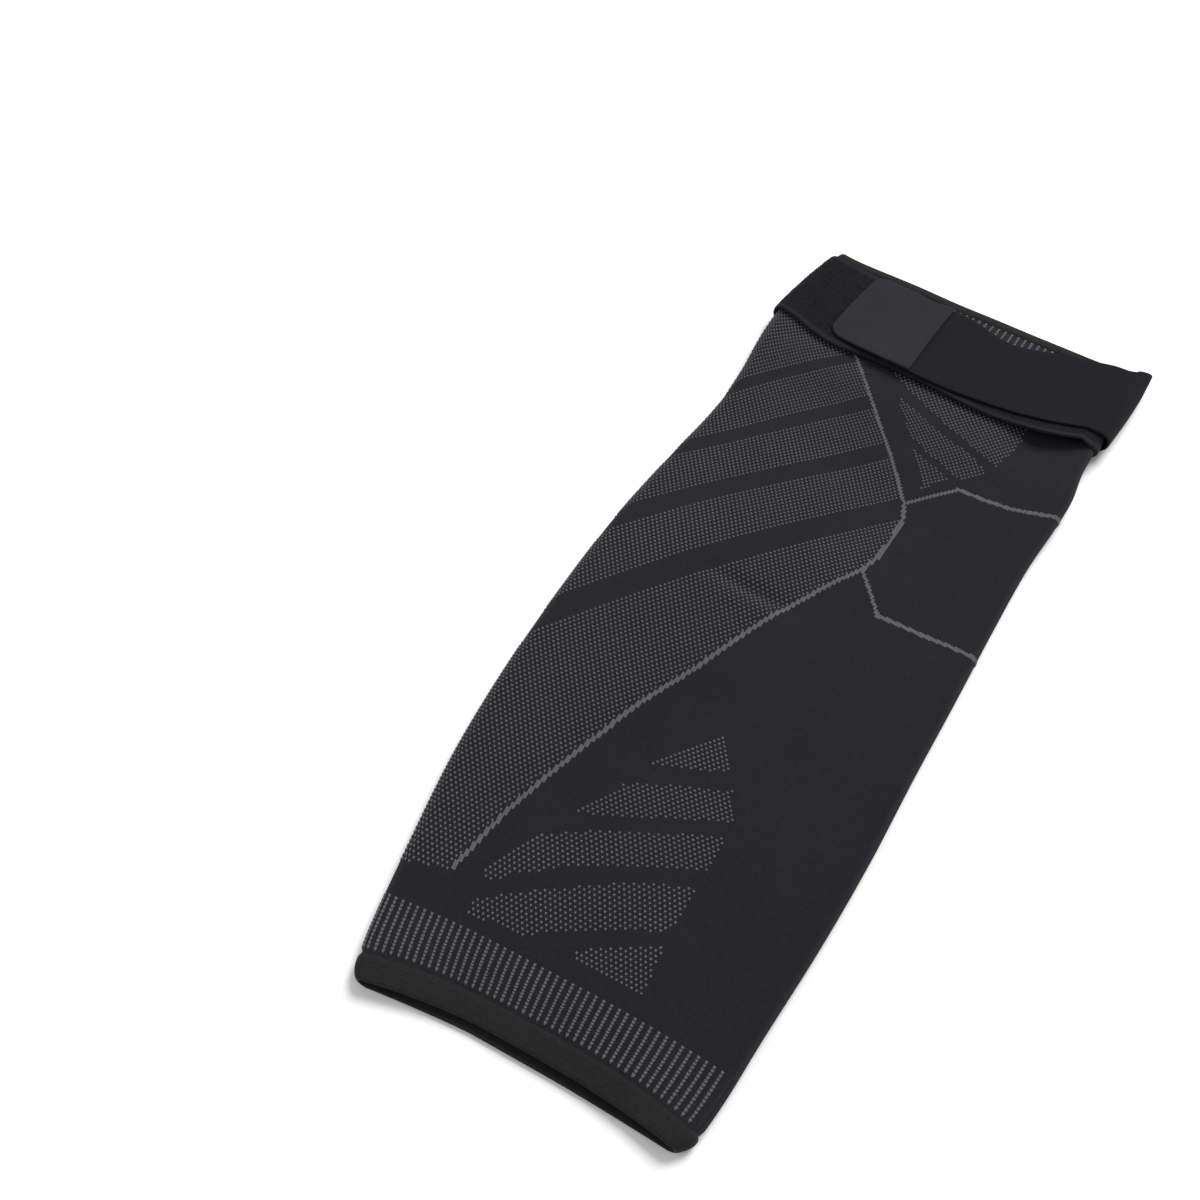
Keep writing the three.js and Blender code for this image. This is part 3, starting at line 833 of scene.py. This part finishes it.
class Shading:
    """Builds the nodes of one cloth material."""

    def __init__(self, name):
        self.material = bpy.data.materials.new(name)
        self.material.use_nodes = True
        self.tree = self.material.node_tree
        self.shader = self.tree.nodes["Principled BSDF"]

    def put(self, socket, value):
        """Give a socket a fixed value, or link another node's output to it."""
        if isinstance(value, bpy.types.NodeSocket):
            self.tree.links.new(value, socket)
        else:
            socket.default_value = value

    def node(self, kind, **inputs):
        """A new node with its inputs set by name."""
        made = self.tree.nodes.new(kind)
        for name, value in inputs.items():
            self.put(made.inputs[name.replace("_", " ")], value)
        return made

    def math(self, operation, *values):
        """Result of a sum, product or other operation."""
        made = self.tree.nodes.new("ShaderNodeMath")
        made.operation = operation
        for socket, value in zip(made.inputs, values):
            self.put(socket, value)
        return made.outputs[0]

    def weave(self):
        """The two weave coordinates of the mesh."""
        source = self.tree.nodes.new("ShaderNodeUVMap")
        source.uv_map = "weave"
        parts = self.node("ShaderNodeSeparateXYZ", Vector=source.outputs["UV"])
        return parts.outputs["X"], parts.outputs["Y"]

    def noise(self, scale, detail):
        """Noise between 0 and 1 through the solid, with scale features in a metre."""
        place = self.tree.nodes.new("ShaderNodeTexCoord").outputs["Object"]
        made = self.node("ShaderNodeTexNoise", Vector=place, Scale=scale, Detail=detail)
        return made.outputs["Fac"]

    def wave(self, value, length):
        """A wave between 0 and 1 that repeats after each length of value."""
        turned = self.math("MULTIPLY", value, 2 * math.pi / length)
        return self.math("MULTIPLY_ADD", self.math("SINE", turned), 0.5, 0.5)

    def between(self, value, low, high):
        """value, from 0 to 1, as a number from low to high."""
        return self.math("MULTIPLY_ADD", value, high - low, low)

    def varied(self, value, share):
        """value, from 0 to 1, as a factor that departs from 1 by a share either way."""
        return self.between(value, 1 - share, 1 + share)

    def colour(self, colour, *factors):
        """A colour multiplied by factors that vary over the surface."""
        total = factors[0]
        for factor in factors[1:]:
            total = self.math("MULTIPLY", total, factor)
        mixed = self.node("ShaderNodeVectorMath")
        mixed.operation = "SCALE"
        mixed.inputs[0].default_value = colour
        self.put(mixed.inputs["Scale"], total)
        self.put(self.shader.inputs["Base Color"], mixed.outputs["Vector"])

    def bump(self, height, depth, strength):
        """Relief from a height between 0 and 1, depth millimetres deep."""
        made = self.node("ShaderNodeBump", Height=height, Distance=depth * MM, Strength=strength)
        self.put(self.shader.inputs["Normal"], made.outputs["Normal"])

    def finish(self, roughness, specular, sheen=0.0, sheen_roughness=0.5):
        """Set the gloss and sheen of the finished material."""
        self.put(self.shader.inputs["Roughness"], roughness)
        self.put(self.shader.inputs["Specular IOR Level"], specular)
        self.put(self.shader.inputs["Sheen Weight"], sheen)
        self.put(self.shader.inputs["Sheen Roughness"], sheen_roughness)
        return self.material


def knit_height(shading):
    """Relief of plain knit: each wale is a column of V stitches with two arms."""
    wale, course = shading.weave()
    middle = shading.math("ABSOLUTE", shading.math("SUBTRACT", shading.math("FRACT", wale), 0.5))
    arm = shading.math("SINE", shading.math("MULTIPLY", middle, 2 * math.pi))
    rising = shading.math("MULTIPLY_ADD", middle, ARM_SLOPE, course)
    loop = shading.math("ABSOLUTE", shading.math("SINE", shading.math("MULTIPLY", rising, math.pi)))
    return shading.math("MULTIPLY", arm, shading.between(loop, LOOP_SHALLOW, 1.0))


def knit_material(name, colour, relief):
    """Plain knit, relief millimetres deep, with lint on it and painted shade in the hollows of its stitches.
    """
    shading = Shading(name)
    height = knit_height(shading)
    lint = shading.noise(2600, detail=3)
    fuzz = shading.noise(700, detail=2)
    patches = shading.noise(28, detail=3)
    # Painted shade: the colour is darker in the hollows of the stitch relief and lighter on its crests
    shading.colour(colour, shading.between(height, low=0.72, high=1.3), shading.varied(lint, share=0.4),
                   shading.varied(fuzz, share=0.25), shading.varied(patches, share=0.15))
    linty = shading.math("MULTIPLY_ADD", lint, LINT_SHARE, height)
    shading.bump(linty, depth=relief, strength=0.8)
    return shading.finish(roughness=0.92, specular=0.12, sheen=0.04, sheen_roughness=0.4)


def pile_material(name, colour, *factors):
    """Brushed loop pile: soft tufts with no direction."""
    shading = Shading(name)
    tufts = shading.noise(1500, detail=4)
    brushed = shading.noise(90, detail=3)
    shading.colour(colour, shading.varied(tufts, share=0.55), shading.varied(brushed, share=0.25),
                   *[factor(shading) for factor in factors])
    shading.bump(tufts, depth=0.5, strength=0.9)
    return shading.finish(roughness=1.0, specular=0.04, sheen=0.04, sheen_roughness=0.6)


def bare_edges_and_painted_light(shading):
    """How much lighter the loop band is than its pile at its edges: partly their weave without pile, partly
    painted light.
    """
    distance = shading.weave()[0]
    inwards = shading.math("MINIMUM", distance, shading.math("SUBTRACT", BAND_WIDTH, distance))
    bare_and_lit = shading.math("DIVIDE", shading.math("SUBTRACT", BARE_EDGE, inwards), BARE_FADE)
    # Painted light, together with the weave's own paler colour: the edges are made lighter than the pile
    return shading.between(shading.math("MINIMUM", shading.math("MAXIMUM", bare_and_lit, 0), 1), 1, BARE_AND_PAINTED_LIGHTER)


def elastic_material(name, colour):
    """Woven elastic: fine ribs along the strap, crossed by the weft."""
    shading = Shading(name)
    across, along = shading.weave()
    rib = shading.wave(across, ELASTIC_RIB)
    pick = shading.wave(along, ELASTIC_PICK)
    slanted = shading.math("MULTIPLY_ADD", across, ELASTIC_PICK / (2 * ELASTIC_RIB), along)
    over = shading.wave(slanted, 2 * ELASTIC_PICK)
    weft = shading.math("MULTIPLY", pick, shading.between(over, low=0.2, high=0.5))
    height = shading.math("MULTIPLY_ADD", rib, 0.5, weft)
    fibre = shading.noise(3200, detail=2)
    patches = shading.noise(35, detail=3)
    # Painted shade: the colour is darker in the hollows between the ribs and the weft and lighter on their
    # tops
    shading.colour(colour, shading.varied(height, share=0.22), shading.varied(fibre, share=0.25),
                   shading.varied(patches, share=0.12))
    shading.bump(height, depth=0.18, strength=0.8)
    return shading.finish(roughness=0.9, specular=0.07, sheen=0.03, sheen_roughness=0.4)


def tape_material(name, colour):
    """Back of the hook tape: a tight plain weave, slightly waxy."""
    shading = Shading(name)
    across, along = shading.weave()
    weave = shading.math("MULTIPLY", shading.wave(across, TAPE_THREAD), shading.wave(along, TAPE_THREAD))
    fibre = shading.noise(2400, detail=3)
    patches = shading.noise(60, detail=4)
    # Painted shade: the colour is slightly darker in the hollows of the weave
    shading.colour(colour, shading.varied(weave, share=0.1), shading.varied(fibre, share=0.15),
                   shading.varied(patches, share=0.14))
    shading.bump(shading.math("MULTIPLY_ADD", fibre, 0.5, weave), depth=0.08, strength=0.7)
    return shading.finish(roughness=0.85, specular=0.08, sheen=0.02, sheen_roughness=0.5)


def yarn_material(name, colour):
    """Grey yarn of the pattern."""
    shading = Shading(name)
    fibre = shading.noise(2800, detail=3)
    patches = shading.noise(40, detail=2)
    shading.colour(colour, shading.varied(fibre, share=0.35), shading.varied(patches, share=0.15))
    shading.bump(fibre, depth=0.1, strength=0.8)
    return shading.finish(roughness=0.85, specular=0.2, sheen=0.08, sheen_roughness=0.5)


def floor_material():
    """Pale floor that is hardly uneven in its colour."""
    shading = Shading("floor_white")
    shading.colour(FLOOR_COLOUR, shading.between(shading.noise(6, detail=2), low=0.985, high=1.0))
    return shading.finish(roughness=0.9, specular=0.1)


# Floor, lights and camera


def make_floor():
    """Pale floor that the sleeve lies on."""
    mesh = bpy.data.meshes.new("floor")
    corners = [(x * FLOOR_REACH, y * FLOOR_REACH, 0) for x, y in ((-1, -1), (1, -1), (1, 1), (-1, 1))]
    mesh.from_pydata(corners, [], [range(len(corners))])
    floor = bpy.data.objects.new("floor", mesh)
    mesh.materials.append(floor_material())
    bpy.context.scene.collection.objects.link(floor)


def area_light(name, place, size, power):
    """A square soft light that faces the sleeve's middle."""
    light = bpy.data.lights.new(name, "AREA")
    light.size = size
    light.energy = power
    lamp = bpy.data.objects.new(name, light)
    lamp.location = place
    lamp.rotation_euler = (-lamp.location).to_track_quat("-Z", "Y").to_euler()
    bpy.context.scene.collection.objects.link(lamp)


def make_lights():
    """White room with its soft lights."""
    world = bpy.data.worlds.new("studio")
    world.use_nodes = True
    room = world.node_tree.nodes["Background"]
    room.inputs["Color"].default_value = (1, 1, 1, 1)
    room.inputs["Strength"].default_value = ROOM_STRENGTH
    bpy.context.scene.world = world
    for light in LIGHTS:
        area_light(*light)


def make_camera():
    """Camera at the photograph's viewing angle."""
    camera = bpy.data.cameras.new("camera")
    camera.lens = CAMERA_LENS
    camera.sensor_width = SENSOR
    camera.clip_start = NEAREST_SEEN * MM
    view = bpy.data.objects.new("camera", camera)
    view.location = (np.array(CAMERA_PLACE) + SHIFT) * MM
    view.rotation_euler = (math.radians(90 - CAMERA_DOWN), 0, math.radians(CAMERA_TURN))
    bpy.context.scene.collection.objects.link(view)
    bpy.context.scene.camera = view


# Putting the sleeve together


def dress(thing, material, slot, *nodes):
    """Give a piece its material, let it ride on the sleeve and stand for its CAD nodes; slot is not used."""
    thing.data.materials.append(material)
    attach(thing, "root")
    if nodes:
        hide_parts(*nodes)
    return thing


knit_black = knit_material("knit_black", KNIT_COLOUR, relief=0.22)
cuff_knit = knit_material("cuff_knit", CUFF_COLOUR, relief=0.2)
welt_knit = knit_material("welt_knit", WELT_COLOUR, relief=0.05)
loop_pile = pile_material("loop_pile", PILE_COLOUR)
# The loop band's ground has edges painted lighter, partly as painted light
loop_ground = pile_material("loop_ground", PILE_COLOUR, bare_edges_and_painted_light)
woven_elastic = elastic_material("woven_elastic", STRAP_COLOUR)
hook_tape = tape_material("hook_tape", TAB_COLOUR)
grey_yarn = yarn_material("grey_yarn", YARN_COLOUR)

body = dress(knit_body(), knit_black, "knit_black", "knit_sleeve")
calf_cuff = dress(rib_cuff("calf_cuff", CALF_WELT_END, CALF_CUFF_END, CALF_WELT_END), cuff_knit,
                  "rib_cuff", "calf_rib_cuff")
thigh_cuff = dress(rib_cuff("thigh_cuff", THIGH_CUFF_START, THIGH_WELT_START, THIGH_WELT_START), cuff_knit,
                   "rib_cuff", "thigh_rib_cuff")
calf_edge = dress(welt("calf_edge", CALF_WELT_END, 0), welt_knit, "welt", "calf_welt")
thigh_edge = dress(welt("thigh_edge", THIGH_WELT_START, SLEEVE_LENGTH), welt_knit, "welt", "thigh_welt")
band = dress(loop_band(), loop_ground, "loop_pile", "loop_band")
pile = dress(pile_tufts(), loop_pile, "loop_pile")
strap = dress(pull_strap(), woven_elastic, "strap_elastic", "pull_strap")
tab = dress(hook_tab(), hook_tape, "hook_tape", "hook_tab")

(dot_along, dot_share), (line_along, line_share) = pattern()
line_both = np.concatenate([line_share, under_share(line_share)])
stitched = [
    dress(stitch_object("dots_upper", dot_along, dot_share, DOT_WIDTH, DOT_LENGTH), grey_yarn, "knit_black"),
    dress(stitch_object("dots_under", dot_along, under_share(dot_share), DOT_WIDTH, DOT_LENGTH), grey_yarn,
          "knit_black"),
    dress(stitch_object("pattern_lines", np.tile(line_along, 2), line_both, LINE_WIDTH, LINE_LENGTH),
          grey_yarn, "knit_black"),
    dress(ticks("calf_ticks", CALF_WELT_END + CALF_TICK_GAP, CALF_CUFF_END - BODY_TICK_GAP), grey_yarn,
          "rib_cuff"),
    dress(ticks("thigh_ticks", THIGH_CUFF_START + BODY_TICK_GAP, THIGH_WELT_START - THIGH_TICK_GAP),
          grey_yarn, "rib_cuff"),
]

make_floor()
make_lights()
make_camera()
bpy.context.scene.view_settings.view_transform = "Standard"
